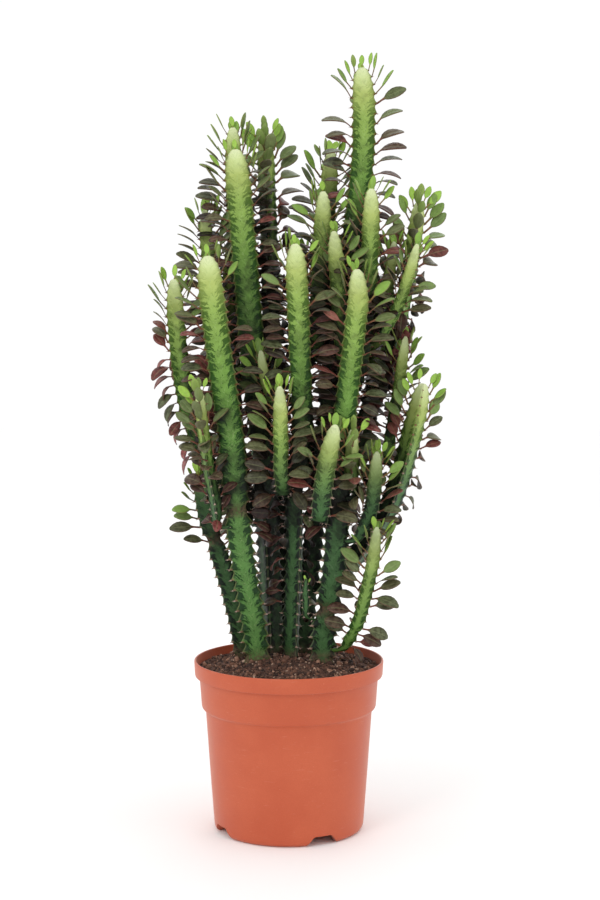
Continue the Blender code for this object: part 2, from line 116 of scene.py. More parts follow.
def srgb(red, green, blue):
    """A colour given as screen values of 0 to 255, as linear light."""
    channels = [value / 255 for value in (red, green, blue)]
    linear = [c / 12.92 if c <= 0.04045 else ((c + 0.055) / 1.055) ** 2.4 for c in channels]
    return (*(channel * PAINT_SHARE for channel in linear), 1.0)


def smoothstep(low, high, value):
    share = np.clip((value - low) / (high - low), 0, 1)
    return share * share * (3 - 2 * share)


# ---------------------------------------------------------------- modelling helpers

def begin(name, primitive, **settings):
    """Add a primitive with nothing else selected, its place kept in its mesh."""
    bpy.ops.object.select_all(action="DESELECT")
    primitive(**settings)
    made = bpy.context.object
    made.name = name
    made.data.name = name
    bpy.ops.object.transform_apply(location=True, rotation=True, scale=True)
    return made


def select_only(active, *others):
    bpy.ops.object.select_all(action="DESELECT")
    for piece in (active, *others):
        piece.select_set(True)
    bpy.context.view_layer.objects.active = active


def join(active, *others):
    select_only(active, *others)
    bpy.ops.object.join()
    return bpy.context.object


def edit(piece):
    select_only(piece)
    bpy.ops.object.mode_set(mode="EDIT")
    bpy.ops.mesh.select_mode(type="VERT")


def leave_edit():
    bpy.ops.object.mode_set(mode="OBJECT")


def pick(piece, test):
    """In edit mode, select just the vertices whose place passes a test."""
    bpy.ops.mesh.select_all(action="DESELECT")
    bm = bmesh.from_edit_mesh(piece.data)
    for vert in bm.verts:
        vert.select = test(vert.co)
    bm.select_flush_mode()
    bmesh.update_edit_mesh(piece.data)


def pick_edges(piece, test):
    bpy.ops.mesh.select_mode(type="EDGE")
    bpy.ops.mesh.select_all(action="DESELECT")
    bm = bmesh.from_edit_mesh(piece.data)
    for edge in bm.edges:
        edge.select = test(edge)
    bm.select_flush_mode()
    bmesh.update_edit_mesh(piece.data)


def scale(x, y, z, about=(0, 0, 0)):
    bpy.ops.transform.resize(value=(x, y, z), center_override=about)


def turn(axis, degrees, about):
    """Turn what is selected, anticlockwise seen against the axis.

    With no window the operator turns the other way, so its sign is reversed here.
    """
    bpy.ops.transform.rotate(value=-math.radians(degrees), orient_axis=axis, center_override=about)


def apply(piece, modifier_type, **settings):
    """Add a modifier and apply it at once."""
    select_only(piece)
    modifier = piece.modifiers.new(modifier_type.title(), modifier_type)
    for setting, value in settings.items():
        setattr(modifier, setting, value)
    bpy.ops.object.modifier_apply(modifier=modifier.name)


def smooth(mesh):
    mesh.polygons.foreach_set("use_smooth", [True] * len(mesh.polygons))


def face_outward():
    """In edit mode, turn every face of a closed shape outwards."""
    bpy.ops.mesh.select_all(action="SELECT")
    bpy.ops.mesh.normals_make_consistent(inside=False)


def copy_of(master, name):
    made = master.copy()
    made.data = master.data.copy()
    made.name = name
    made.data.name = name
    bpy.context.scene.collection.objects.link(made)
    return made


def places(mesh):
    flat = np.empty(len(mesh.vertices) * 3)
    mesh.vertices.foreach_get("co", flat)
    return flat.reshape(-1, 3)


def set_places(mesh, points):
    mesh.vertices.foreach_set("co", np.ascontiguousarray(points, np.float32).ravel())
    mesh.update()


def add_value(mesh, name, values):
    """Store one number for each vertex."""
    attribute = mesh.attributes.new(name, "FLOAT", "POINT")
    attribute.data.foreach_set("value", np.ascontiguousarray(values, np.float32))


def remove(*pieces):
    for piece in pieces:
        bpy.data.objects.remove(piece, do_unlink=True)


def finish_piece(piece, material, slot, *replaced):
    piece.data.materials.clear()
    piece.data.materials.append(material)
    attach(piece, "root")
    if replaced:
        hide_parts(*replaced)


def repeat_mesh(name, master, matrices, values):
    """One mesh that holds a copy of the master at each matrix, with numbers for each copy."""
    points = places(master.data)
    faces = [tuple(face.vertices) for face in master.data.polygons]
    turned = np.array(matrices)
    spread = np.einsum("nij,vj->nvi", turned[:, :3, :3], points) + turned[:, None, :3, 3]
    count = len(points)
    all_faces = [tuple(v + copy * count for v in face)
                 for copy in range(len(matrices)) for face in faces]
    mesh = bpy.data.meshes.new(name)
    mesh.from_pydata(spread.reshape(-1, 3).tolist(), [], all_faces)
    smooth(mesh)
    for attribute in master.data.attributes:
        if attribute.domain == "POINT" and attribute.data_type == "FLOAT":
            own = np.empty(count)
            attribute.data.foreach_get("value", own)
            add_value(mesh, attribute.name, np.tile(own, len(matrices)))
    for key, numbers in values.items():
        add_value(mesh, key, np.repeat(numbers, count))
    made = bpy.data.objects.new(name, mesh)
    bpy.context.scene.collection.objects.link(made)
    return made


# ---------------------------------------------------------------- material helpers

class Nodes:
    """A node tree, with short calls to add nodes and join them."""

    def __init__(self, tree):
        self.tree = tree

    def put(self, socket, value):
        if isinstance(value, bpy.types.NodeSocket):
            self.tree.links.new(value, socket)
        else:
            socket.default_value = value

    def node(self, kind, **settings):
        made = self.tree.nodes.new(kind)
        for setting, value in settings.items():
            setattr(made, setting, value)
        return made

    def attribute(self, name):
        return self.node("ShaderNodeAttribute", attribute_name=name).outputs["Fac"]

    def object_place(self):
        return self.node("ShaderNodeTexCoord").outputs["Object"]

    def math(self, operation, first, second=0.0, third=0.0):
        made = self.node("ShaderNodeMath", operation=operation)
        for socket, value in zip(made.inputs, (first, second, third)):
            self.put(socket, value)
        return made.outputs[0]

    def step(self, value, low, high, start=0.0, end=1.0):
        """A smooth ramp from start to end as value goes from low to high."""
        made = self.node("ShaderNodeMapRange", interpolation_type="SMOOTHSTEP")
        for label, number in (("Value", value), ("From Min", low), ("From Max", high),
                              ("To Min", start), ("To Max", end)):
            self.put(made.inputs[label], number)
        return made.outputs[0]

    def noise(self, size, detail=3.0, place=None, roughness=0.55):
        made = self.node("ShaderNodeTexNoise")
        made.inputs["Scale"].default_value = 1 / size
        made.inputs["Detail"].default_value = detail
        made.inputs["Roughness"].default_value = roughness
        self.put(made.inputs["Vector"], place or self.object_place())
        return made.outputs["Fac"]

    def mix(self, share, first, second, blend="MIX"):
        made = self.node("ShaderNodeMix", data_type="RGBA", blend_type=blend)
        self.put(made.inputs[0], share)
        self.put(made.inputs[6], first)
        self.put(made.inputs[7], second)
        return made.outputs[2]

    def ramp(self, value, stops):
        made = self.node("ShaderNodeValToRGB")
        self.put(made.inputs[0], value)
        elements = made.color_ramp.elements
        while len(elements) < len(stops):
            elements.new(0.5)
        for element, (place, colour) in zip(elements, stops):
            element.position = place
            element.color = colour
        return made.outputs[0]

    def place(self, effect, **values):
        """Place a shared effect; values are by the name of its inputs, with _ for a space."""
        made = self.node("ShaderNodeGroup", node_tree=effect.tree)
        for name, value in values.items():
            self.put(made.inputs[name.replace("_", " ")], value)
        return made.outputs[0]


class Skin(Nodes):
    """A material and the nodes that feed its shader."""

    def __init__(self, name, roughness=0.5):
        self.material = bpy.data.materials.new(name)
        self.material.use_nodes = True
        super().__init__(self.material.node_tree)
        self.shader = self.tree.nodes["Principled BSDF"]
        self.shader.inputs["Roughness"].default_value = roughness

    def bump(self, height, strength, distance):
        made = self.node("ShaderNodeBump")
        made.inputs["Strength"].default_value = strength
        made.inputs["Distance"].default_value = distance
        self.put(made.inputs["Height"], height)
        self.put(self.shader.inputs["Normal"], made.outputs[0])


class Effect(Nodes):
    """A shader node group with named inputs and one output, for several materials."""

    def __init__(self, name, inputs, output, output_kind):
        super().__init__(bpy.data.node_groups.new(name, "ShaderNodeTree"))
        for label in inputs:
            self.tree.interface.new_socket(label, in_out="INPUT", socket_type="NodeSocketFloat")
        self.tree.interface.new_socket(output, in_out="OUTPUT", socket_type=output_kind)
        self.given = self.node("NodeGroupInput").outputs
        self.result = self.node("NodeGroupOutput").inputs[0]


def mottle_effect():
    """Soft blotches: 0 where the noise is under Low, Strength where it is over High."""
    effect = Effect("mottle", ("Size", "Detail", "Low", "High", "Strength"), "Mask",
                    "NodeSocketFloat")
    given = effect.given
    noise = effect.node("ShaderNodeTexNoise")
    noise.inputs["Roughness"].default_value = 0.55
    effect.put(noise.inputs["Vector"], effect.object_place())
    effect.put(noise.inputs["Scale"], effect.math("DIVIDE", 1.0, given["Size"]))
    effect.put(noise.inputs["Detail"], given["Detail"])
    effect.put(effect.result, effect.step(noise.outputs["Fac"], given["Low"], given["High"],
                                          0.0, given["Strength"]))
    return effect


def bush_shade_effect():
    """Painted shade: a grey that darkens what is deep inside the bush, but for the fresh growth at
    the tips.
    """
    effect = Effect("bush_shade", ("Open Sky", "From Tip"), "Shade", "NodeSocketColor")
    fresh = effect.step(effect.given["From Tip"], 0.02, 0.09, 0.85, 0.0)
    share = effect.step(effect.given["Open Sky"], 0.04, 0.40)
    share = effect.math("MAXIMUM", share, fresh)
    effect.put(effect.result, effect.mix(share, (0.10, 0.09, 0.085, 1), (1, 1, 1, 1)))
    return effect


# ---------------------------------------------------------------- camera, light and floor

def make_stage():
    camera = bpy.data.objects.new("camera", bpy.data.cameras.new("camera"))
    camera.location = CAMERA_PLACE
    camera.rotation_euler = (math.radians(CAMERA_PITCH), 0, 0)
    camera.data.lens = CAMERA_LENS
    camera.data.sensor_width = SENSOR
    bpy.context.scene.collection.objects.link(camera)
    bpy.context.scene.camera = camera
    bpy.context.scene.view_settings.view_transform = "Standard"

    world = bpy.data.worlds.new("studio")
    bpy.context.scene.world = world
    world.use_nodes = True
    world.node_tree.nodes["Background"].inputs["Color"].default_value = (1, 1, 1, 1)
    world.node_tree.nodes["Background"].inputs["Strength"].default_value = 1.02

    softboxes = [("key", (-1.3, -1.9, 1.9), 0.9, 12), ("fill", (1.8, -1.2, 1.1), 1.2, 3),
                 ("back", (0.3, 1.9, 1.6), 1.4, 6)]
    for name, place, size, power in softboxes:
        light = bpy.data.lights.new(name, "AREA")
        light.size = size
        light.energy = power
        lamp = bpy.data.objects.new(name, light)
        lamp.location = place
        aim = Vector((0, 0, 0.42)) - Vector(place)
        lamp.rotation_euler = aim.to_track_quat("-Z", "Y").to_euler()
        bpy.context.scene.collection.objects.link(lamp)

    floor = begin("floor", bpy.ops.mesh.primitive_plane_add, size=10)
    paint = Skin("floor_paint", 0.9)
    paint.shader.inputs["Base Color"].default_value = (0.985, 0.985, 0.98, 1)
    floor.data.materials.append(paint.material)


# ---------------------------------------------------------------- stems

class Spine:
    """A stem's centreline with the direction and radius of its wings, read off its CAD node."""

    def __init__(self, name, node):
        self.name = name
        centres, ridges, radii = self.read_rings(node)
        spans = np.linalg.norm(np.diff(centres, axis=0), axis=1)
        marks = np.concatenate([[0], np.cumsum(spans)])
        self.length = marks[-1]
        self.marks = np.linspace(0, self.length, max(8, int(self.length / SAMPLE)))
        self.centre = self.smooth_curve(marks, centres)
        self.along = np.gradient(self.centre, axis=0)
        self.along /= np.linalg.norm(self.along, axis=1)[:, None]
        ridge = np.stack([np.interp(self.marks, marks, ridges[:, i]) for i in range(3)], axis=1)
        ridge -= self.along * (ridge * self.along).sum(axis=1)[:, None]
        self.ridge = ridge / np.linalg.norm(ridge, axis=1)[:, None]
        self.side = np.cross(self.along, self.ridge)
        self.radius = np.interp(self.marks, marks, radii) * GIRTH
        reach = min(TIP_REACH, 0.45 * self.length)
        shoulder = np.interp(self.length - reach, self.marks, self.radius)
        share = np.interp((self.length - self.marks) / reach, *zip(*TIP_SHAPE))
        self.radius = np.where(self.length - self.marks < reach, share * shoulder, self.radius)
        self.stoutness = max(radii)

    @staticmethod
    def read_rings(node):
        """Walk the stem from the point at its foot, ring by ring, to the point at its tip."""
        bm = bmesh.new()
        bm.from_mesh(node.data)
        bmesh.ops.remove_doubles(bm, verts=bm.verts, dist=1e-6)
        poles = [v for v in bm.verts if len(v.link_edges) == CAD_RING_POINTS]
        foot, tip = sorted(poles, key=lambda v: v.co.z)
        rings, seen, ring = [], {foot}, [foot]
        while ring:
            following = {e.other_vert(v) for v in ring for e in v.link_edges} - seen
            seen |= following
            ring = list(following)
            if len(ring) == CAD_RING_POINTS:
                rings.append([v.co.copy() for v in ring])
        centres, ridges, radii = [], [], []
        last = Vector((0, -1, 0))
        for points in rings:
            centre = sum(points, Vector()) / len(points)
            crests = sorted(points, key=lambda p: -(p - centre).length)[:2 * WINGS]
            pairs = []
            for crest in crests:
                twin = min((p for p in crests if p is not crest), key=lambda p: (p - crest).length)
                pairs.append((crest + twin) / 2 - centre)
            last = max(pairs, key=lambda p: p.normalized().dot(last.normalized()))
            centres.append(centre)
            ridges.append(last.normalized())
            radii.append((crests[0] - centre).length)
        foot_place, tip_place = foot.co.copy(), tip.co.copy()
        bm.free()
        if radii[0] < 0.55 * max(radii):           # a branch: let it reach into its parent
            foot_place += (foot_place - centres[0]).normalized() * REACH_INTO_PARENT
        centres = [foot_place, *centres, tip_place]
        ridges = [ridges[0], *ridges, ridges[-1]]
        radii = [radii[0], *radii, radii[-1] * 0.45]
        return np.array(centres), np.array(ridges), np.array(radii)

    def smooth_curve(self, marks, points):
        """Cubic curve through the ring centres."""
        slopes = np.gradient(points, marks, axis=0)
        index = np.clip(np.searchsorted(marks, self.marks, side="right") - 1, 0, len(marks) - 2)
        span = marks[index + 1] - marks[index]
        t = ((self.marks - marks[index]) / span)[:, None]
        span = span[:, None]
        return ((2 * t ** 3 - 3 * t ** 2 + 1) * points[index]
                + (t ** 3 - 2 * t ** 2 + t) * span * slopes[index]
                + (3 * t ** 2 - 2 * t ** 3) * points[index + 1]
                + (t ** 3 - t ** 2) * span * slopes[index + 1])

    def at(self, mark, values):
        values = values if values.ndim > 1 else values[:, None]
        return np.stack([np.interp(mark, self.marks, values[:, i])
                         for i in range(values.shape[1])], axis=-1)

    def lay(self, across, up, mark):
        """Turn places in a straight stem of radius 1 into places in this one."""
        radius = self.at(mark, self.radius)
        return (self.at(mark, self.centre) + self.at(mark, self.ridge) * across[:, None] * radius
                + self.at(mark, self.side) * up[:, None] * radius)

    def teeth(self):
        """Distance from the tip of each tooth; they crowd together towards the tip."""
        pitch = STOUT_PITCH if self.stoutness > STOUT_RADIUS else SLIM_PITCH
        marks = [0.0]
        while marks[-1] < self.length - pitch / 2:
            share = min(1.0, 0.45 + 0.14 * len(marks))
            marks.append(marks[-1] + pitch * share * (1 + 0.25 * min(1, marks[-1] / 0.4)))
        return np.array(marks) * self.length / marks[-1]


def angle_from_ridge(x, y):
    """Degrees from the nearest of the wings, which stand at 0, 120 and 240 degrees."""
    angle = math.degrees(math.atan2(y, x)) % 120
    return min(angle, 120 - angle)


def ridge_number(x, y):
    return round(math.degrees(math.atan2(y, x)) / 120) % WINGS


def model_joint(name, margin):
    """One tooth's length of a straight stem: radius 1, from height 0 to 1."""
    joint = begin(name, bpy.ops.mesh.primitive_cylinder_add, vertices=COLUMNS, radius=1, depth=1,
                  end_fill_type="NOTHING", location=(0, 0, 0.5), rotation=(0, 0, math.pi / 2))
    edit(joint)
    pick_edges(joint, lambda e: abs(e.verts[0].co.z - e.verts[1].co.z) > 0.5)
    bpy.ops.mesh.subdivide(number_cuts=LEVELS - 1)
    bpy.ops.mesh.select_mode(type="VERT")
    for degrees, radius in SECTION.items():
        pick(joint, lambda p: abs(angle_from_ridge(p.x, p.y) - degrees) < 2)
        scale(radius, radius, 1)
    for wing in range(WINGS):
        for level in range(LEVELS + 1):
            height = level / LEVELS
            ratio = margin[(level - 2 * wing) % LEVELS]
            beside = 1 - (1 - ratio) * MARGIN_SHARE_BESIDE
            for low, high, value in ((-1, 2, ratio), (13, 17, beside)):    # degrees from it
                pick(joint, lambda p: abs(p.z - height) < 0.05 and ridge_number(p.x, p.y) == wing
                     and low < angle_from_ridge(p.x, p.y) < high)
                scale(value, value, 1)
    leave_edit()
    return joint


def build_stem(spine, young, old, material):
    teeth = spine.teeth()
    count = len(teeth) - 1
    stem = copy_of(young, "stem_" + spine.name)
    aged = copy_of(old, "aged")
    for piece in (stem, aged):
        apply(piece, "ARRAY", count=count, use_relative_offset=False, use_constant_offset=True,
              constant_offset_displace=(0, 0, 1), use_merge_vertices=True, merge_threshold=0.0001)
    edit(stem)
    for height in (0, count):
        pick(stem, lambda p: abs(p.z - height) < 0.01)
        bpy.ops.mesh.edge_face_add()
    leave_edit()
    straight, deep = places(stem.data), places(aged.data)
    from_tip = np.interp(count - straight[:, 2], range(count + 1), teeth)
    share = smoothstep(OLD_FROM, OLD_TO, from_tip)[:, None]
    shape = straight * (1 - share) + deep * share
    uneven = np.array([[RNG.uniform(-UNEVEN, UNEVEN) for _ in range(count + 2)]
                       for _ in range(WINGS)])
    for index, (x, y, z) in enumerate(straight):
        if angle_from_ridge(x, y) < 20:
            shape[index, :2] *= 1 + uneven[ridge_number(x, y), int(round(z))]
    mark = spine.length - from_tip
    placed = spine.lay(shape[:, 0], shape[:, 1], mark)
    set_places(stem.data, placed)
    add_stem_values(stem, spine, straight, from_tip, placed, count)
    smooth(stem.data)
    finish_piece(stem, material, "stem_skin", spine.name)
    remove(aged)
    return stem


def add_stem_values(stem, spine, straight, from_tip, placed, count):
    """What the skin's colour follows: place in the tooth pattern, age, bark and depth of green."""
    mesh = stem.data
    pattern = mesh.uv_layers[0] if mesh.uv_layers else mesh.uv_layers.new(name="tooth_pattern")
    for face in mesh.polygons:
        middle = straight[list(face.vertices)].mean(axis=0)
        wing = ridge_number(middle[0], middle[1])
        for corner in face.loop_indices:
            x, y, z = straight[mesh.loops[corner].vertex_index]
            pattern.data[corner].uv = (angle_from_ridge(x, y) / 60, count - z + wing / WINGS)
    add_value(mesh, "from_tip", from_tip + DULL_STEMS.get(spine.name, 0.0))
    level = placed[:, 2]
    bark = 1 - smoothstep(SOIL_LINE, BARK_TO, level)
    girth = spine.radius
    window = int(0.03 / SAMPLE)
    widest = np.array([girth[max(0, i - window):i + window].max() for i in range(len(girth))])
    waist = smoothstep(0.02, 0.3, 1 - girth / widest)
    waist *= (spine.marks > 0.05) & (spine.marks < spine.length - 0.05)
    bark = np.maximum(bark, 0.85 * np.interp(spine.length - from_tip, spine.marks, waist))
    add_value(mesh, "bark", bark)
    deep = 1 - smoothstep(*DEEP_GREEN_TO, level)
    add_value(mesh, "deep", deep * (0.25 if spine.name in BRIGHT_STEMS else 1.0))


def stem_skin(bush_shade, mottle):
    """Pale at the tip, then green: dark lobes from each ridge, light veins down to mid face."""
    skin = Skin("stem_skin", 0.48)
    uv = skin.node("ShaderNodeUVMap").outputs[0]
    parts = skin.node("ShaderNodeSeparateXYZ")
    skin.put(parts.inputs[0], uv)
    across, tooth = parts.outputs[0], parts.outputs[1]
    from_tip, bark, deep = (skin.attribute(name) for name in ("from_tip", "bark", "deep"))
    below = skin.math("MULTIPLY", from_tip, 2.5)
    band = skin.ramp(below, [
        (0.0, srgb(238, 246, 200)), (0.03, srgb(218, 232, 164)), (0.07, srgb(188, 204, 116)),
        (0.14, srgb(154, 184, 90)), (0.3, srgb(124, 166, 74)), (0.5, srgb(112, 160, 74)),
        (0.85, srgb(104, 152, 76))])
    margin = skin.ramp(below, [
        (0.0, srgb(226, 236, 176)), (0.03, srgb(184, 200, 112)), (0.07, srgb(112, 134, 50)),
        (0.14, srgb(68, 98, 26)), (0.3, srgb(44, 82, 18)), (0.5, srgb(34, 74, 20)),
        (0.85, srgb(30, 66, 26))])
    band = skin.mix(deep, band, srgb(72, 112, 64))
    margin = skin.mix(deep, margin, srgb(14, 30, 18))
    # A vein runs down and inwards from each tooth, and a dark lobe hangs below it.
    waver = skin.math("SUBTRACT", skin.noise(8 * MM, 3), 0.5)
    phase = skin.math("SUBTRACT", tooth, across)
    phase = skin.math("ADD", phase, skin.math("MULTIPLY", waver, 1.1))
    place = skin.math("FRACT", phase)
    swell = skin.math("SINE", skin.math("MULTIPLY", place, math.pi))
    fibre = skin.node("ShaderNodeCombineXYZ")
    for socket, value, size in zip(fibre.inputs, (across, phase, from_tip), (2.2, 6.0, 45.0)):
        skin.put(socket, skin.math("MULTIPLY", value, size))
    streak = skin.math("SUBTRACT", skin.noise(1.0, 4, fibre.outputs[0], 0.65), 0.5)
    patchy = skin.math("SUBTRACT", skin.noise(11 * MM, 2), 0.5)
    reach = skin.math("ADD", 0.20, skin.math("MULTIPLY", swell, 0.26))
    reach = skin.math("ADD", reach, skin.math("MULTIPLY", streak, 2.3))
    reach = skin.math("ADD", reach, skin.math("MULTIPLY", patchy, 0.5))
    dark = skin.step(skin.math("SUBTRACT", reach, across), -0.16, 0.14)
    vein = skin.step(skin.math("ADD", swell, streak), 0.06, 0.60, 0.30, 1.0)
    dark = skin.math("MULTIPLY", dark, vein)
    flecks = skin.place(mottle, Size=2.2 * MM, Detail=2, Low=0.59, High=0.70, Strength=0.65)
    flecks = skin.math("MULTIPLY", flecks, skin.step(from_tip, 0.012, 0.05))
    dark = skin.math("MAXIMUM", dark, flecks)
    dark = skin.math("MULTIPLY", dark, skin.step(from_tip, 0.0, 0.07, 0.25, 1.0))
    colour = skin.mix(dark, band, margin)
    cloudy = skin.place(mottle, Size=16 * MM, Detail=4, Low=0.35, High=0.7, Strength=0.25)
    colour = skin.mix(cloudy, colour, margin)
    pale = skin.step(streak, 0.02, 0.16, 0.0, 0.5)
    colour = skin.mix(skin.math("MULTIPLY", pale, skin.math("SUBTRACT", 1.0, dark)), colour,
                      skin.mix(deep, srgb(176, 204, 130), srgb(112, 142, 98)))
    # The very edge of a ridge is a horny line, with a reddish or rosy point at each tooth.
    edge = skin.step(across, 0.0, 0.10, 0.5, 0.0)
    colour = skin.mix(edge, colour, skin.mix(deep, srgb(160, 168, 104), srgb(132, 152, 106)))
    nearest = skin.math("ABSOLUTE", skin.math("SUBTRACT", skin.math("FRACT", skin.math(
        "ADD", tooth, 0.5)), 0.5))
    point = skin.math("MULTIPLY", skin.step(nearest, 0.04, 0.14, 1.0, 0.0),
                      skin.step(across, 0.04, 0.16, 0.9, 0.0))
    point = skin.math("MULTIPLY", point, skin.step(from_tip, 0.0, 0.03))
    colour = skin.mix(point, colour, skin.mix(deep, srgb(134, 88, 62), srgb(214, 176, 156)))
    grain = skin.noise(3 * MM, 5)
    cork = skin.mix(grain, srgb(60, 46, 36), srgb(132, 108, 84))
    colour = skin.mix(skin.math("MULTIPLY", bark, skin.step(grain, 0.25, 0.6)), colour, cork)
    # Painted shade: darker where little open sky reaches, deep inside the bush.
    shade = skin.place(bush_shade, Open_Sky=skin.attribute("open_sky"), From_Tip=from_tip)
    colour = skin.mix(1.0, colour, shade, "MULTIPLY")
    skin.put(skin.shader.inputs["Base Color"], colour)
    skin.shader.inputs["Specular IOR Level"].default_value = 0.22
    rough = skin.step(skin.noise(5 * MM, 3), 0.3, 0.7, 0.42, 0.60)
    skin.put(skin.shader.inputs["Roughness"], skin.math("MAXIMUM", rough, skin.math(
        "MULTIPLY", bark, 0.85)))
    relief = skin.math("ADD", skin.noise(1.6 * MM, 3), skin.math("MULTIPLY", dark, -0.6))
    skin.bump(relief, 0.35, 0.5 * MM)
    return skin.material


# ---------------------------------------------------------------- leaves

# name: degrees the leaf arches over, fold along the midrib, twist, stalk's share, width
LEAF_FORMS = {
    "crown": (-12, 24, 0, 0.34, 0.80),
    "spreading": (26, 16, 4, 0.30, 0.92),
    "arching": (62, 12, -5, 0.24, 1.0),
    "hanging": (84, 10, 8, 0.20, 1.05),
    "curled": (118, 24, 20, 0.20, 0.92),
}
BLADE_PLACES = [0.0, 0.11, 0.26, 0.44, 0.62, 0.80, 0.95]           # shares of the blade
BLADE_WIDTHS = [0.05, 0.130, 0.190, 0.222, 0.212, 0.158, 0.070]    # half widths, leaf length 1
LEAF_THICKNESS = 0.026
STALK_WIDTH = 0.028
LEAF_STATIONS = len(BLADE_PLACES) + 2


def model_leaf(name, arch, fold, twist, stalk, width):
    """A thin spoon-shaped leaf on a short stalk, along +Y with its upper face up."""
    stations = [0.0, stalk * 0.7] + [stalk + (1 - stalk) * place for place in BLADE_PLACES]
    halves = [STALK_WIDTH, STALK_WIDTH] + [half * width for half in BLADE_WIDTHS]
    leaf = begin(name, bpy.ops.mesh.primitive_grid_add, x_subdivisions=4,
                 y_subdivisions=LEAF_STATIONS - 1, size=1, location=(0, 0.5, 0))
    edit(leaf)
    for station, half in enumerate(halves):
        height = station / (LEAF_STATIONS - 1)
        pick(leaf, lambda p: abs(p.y - height) < 0.02)
        scale(2 * half, 1, 1)
    leave_edit()
    points = places(leaf.data)
    rows = np.rint(points[:, 1] * (LEAF_STATIONS - 1)).astype(int)
    points[:, 1] = np.array(stations)[rows]
    rounded = 1 - (points[:, 0] / halves[-1]) ** 2
    points[:, 1] += np.where(rows == rows.max(), 0.03 * rounded, 0)
    lift = math.tan(math.radians(fold) / 2)
    points[:, 2] = np.abs(points[:, 0]) * lift
    set_places(leaf.data, points)
    apply(leaf, "SOLIDIFY", thickness=LEAF_THICKNESS, offset=0)
    solid = places(leaf.data)
    side = np.abs(solid[:, 0])
    add_value(leaf.data, "leaf_along", (solid[:, 1] - stalk) / (1 - stalk))
    add_value(leaf.data, "leaf_across", np.clip(side / np.interp(solid[:, 1], stations, halves),
                                                0, 1.1))
    add_value(leaf.data, "leaf_upper", solid[:, 2] > side * lift)
    rows = np.abs(solid[:, 1:2] - np.array(stations)).argmin(axis=1)
    edit(leaf)
    share = 1 / (LEAF_STATIONS - 1)
    for row in range(1, LEAF_STATIONS):
        turn_beyond(leaf, rows, row, "X", -arch * share)
        turn_beyond(leaf, rows, row, "Y", twist * share)
    bpy.ops.mesh.select_all(action="SELECT")
    scale(LEAF_LENGTH, LEAF_LENGTH, LEAF_LENGTH)
    leave_edit()
    return leaf


def turn_beyond(leaf, rows, row, axis, degrees):
    """In edit mode, turn the rows of a leaf from one row on, about the middle of the row before."""
    bm = bmesh.from_edit_mesh(leaf.data)
    before = [vert.co for vert in bm.verts if rows[vert.index] == row - 1]
    pivot = sum(before, Vector()) / len(before)
    for vert in bm.verts:
        vert.select = bool(rows[vert.index] >= row)
    bm.select_flush_mode()
    bmesh.update_edit_mesh(leaf.data)
    turn(axis, degrees, pivot)


# distance below the tip in metres, form, lift above level in degrees, share of full length
LEAF_AGES = [
    (0.003, "crown", 66, 0.62), (0.012, "crown", 56, 0.86), (0.028, "crown", 48, 1.04),
    (0.048, "spreading", 46, 1.10), (0.080, "arching", 42, 1.08), (0.14, "arching", 32, 0.98),
    (0.22, "hanging", 18, 0.92), (0.40, "hanging", 4, 0.86),
]
REAR_FROM = 20 * MM              # leaves behind this reach further into the gaps
REAR_LEAF_SIZE = 1.14
OVERHANG = 12.5 * MM             # how far leaves may stand out of the CAD's box
TOWARDS_LIGHT = 44               # degrees a leaf at the side rolls its face to the front
LEAF_MISSING = 0.10              # share of teeth that have lost their leaf
LEAF_THINNING = 0.55             # the same, near the bottom of the leafy part
CROWN_MISSING = 0.12             # young teeth crowd together, and not all of them bear a leaf
BARE_FRONT = ("arm_right",)      # stems whose foremost wing has dropped its leaves
# Stems with many red leaves, with the share that is red; further down they hang.
RED_LEAVED = {"arm_left_outer": 0.5, "column_right": 0.4, "arm_right": 0.25}
RED_ELSEWHERE = 0.09
RED_FROM = 0.05                  # distance below the tip from which leaves may be red
DROOP_FROM = 0.08
LEAF_TRIES = 4                   # ways a leaf tries to stand before its place stays bare


def leaf_shape(from_tip, rng):
    """Form, lift and length of a leaf that grows that far below the tip."""
    marks = [age[0] for age in LEAF_AGES]
    lift = np.interp(from_tip, marks, [age[2] for age in LEAF_AGES])
    length = np.interp(from_tip, marks, [age[3] for age in LEAF_AGES])
    age = min(range(len(marks)), key=lambda i: abs(marks[i] - from_tip * rng.uniform(0.7, 1.35)))
    form = LEAF_AGES[age][1]
    if form == "hanging" and rng.random() < 0.35:
        form = rng.choice(("curled", "arching"))
    return form, lift + rng.gauss(0, 9), length * rng.uniform(0.78, 1.08)


def teeth_of(spine):
    """Every tooth: its place, the ways outward and along, and how far below the tip it is."""
    teeth = spine.teeth()
    for wing in range(WINGS):
        around = math.radians(120 * wing)
        for number in range(len(teeth) - 1):
            from_tip = float(np.interp(number + 1 - wing / WINGS, range(len(teeth)), teeth))
            if not 0.002 < from_tip < spine.length - 0.004:
                continue
            mark = np.array([spine.length - from_tip])
            place = spine.lay(np.array([math.cos(around)]), np.array([math.sin(around)]),
                              mark)[0]
            centre = spine.at(mark, spine.centre)[0]
            along = Vector(spine.at(mark, spine.along)[0]).normalized()
            outward = Vector(place - centre)
            outward = (outward - along * outward.dot(along)).normalized()
            yield Vector(place), outward, along, from_tip


def leaf_matrix(place, outward, along, lift, yaw, roll, length):
    """Stand a leaf at a tooth: its stalk outward, lifted towards the stem's tip."""
    across = outward.cross(along)
    turned = Matrix((across, outward, along)).transposed().to_4x4()
    aim = (Matrix.Rotation(math.radians(yaw), 4, "Z") @ Matrix.Rotation(math.radians(lift), 4, "X")
           @ Matrix.Rotation(math.radians(roll), 4, "Y"))
    return Matrix.Translation(place) @ turned @ aim @ Matrix.Scale(length, 4)


